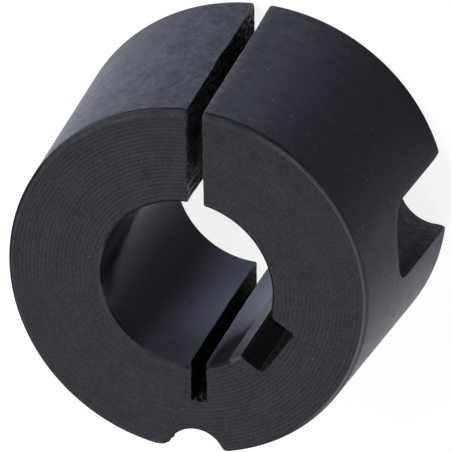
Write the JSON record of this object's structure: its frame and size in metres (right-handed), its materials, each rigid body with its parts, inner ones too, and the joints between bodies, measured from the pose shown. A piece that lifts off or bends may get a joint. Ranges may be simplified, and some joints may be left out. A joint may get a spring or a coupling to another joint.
{
  "type": "taper bush",
  "caption": "Split, keyed taper bush: tapered outside, keyed bore, one saw cut through the wall and half-holes on its rim for clamping and jacking screws.",
  "frame": {"origin": "centre of the bore at the large face, which is the face it stands on", "axes": "+Z along the bore from the large face to the small face, +Y towards the saw cut that goes through the wall"},
  "size_m": [0.035, 0.0351, 0.0223],
  "materials": {
    "blackened_iron": "turned, then blackened to a satin oxide finish"
  },
  "bodies": {
    "root": {"taper_bush": "blackened_iron"}
  },
  "joints": []
}
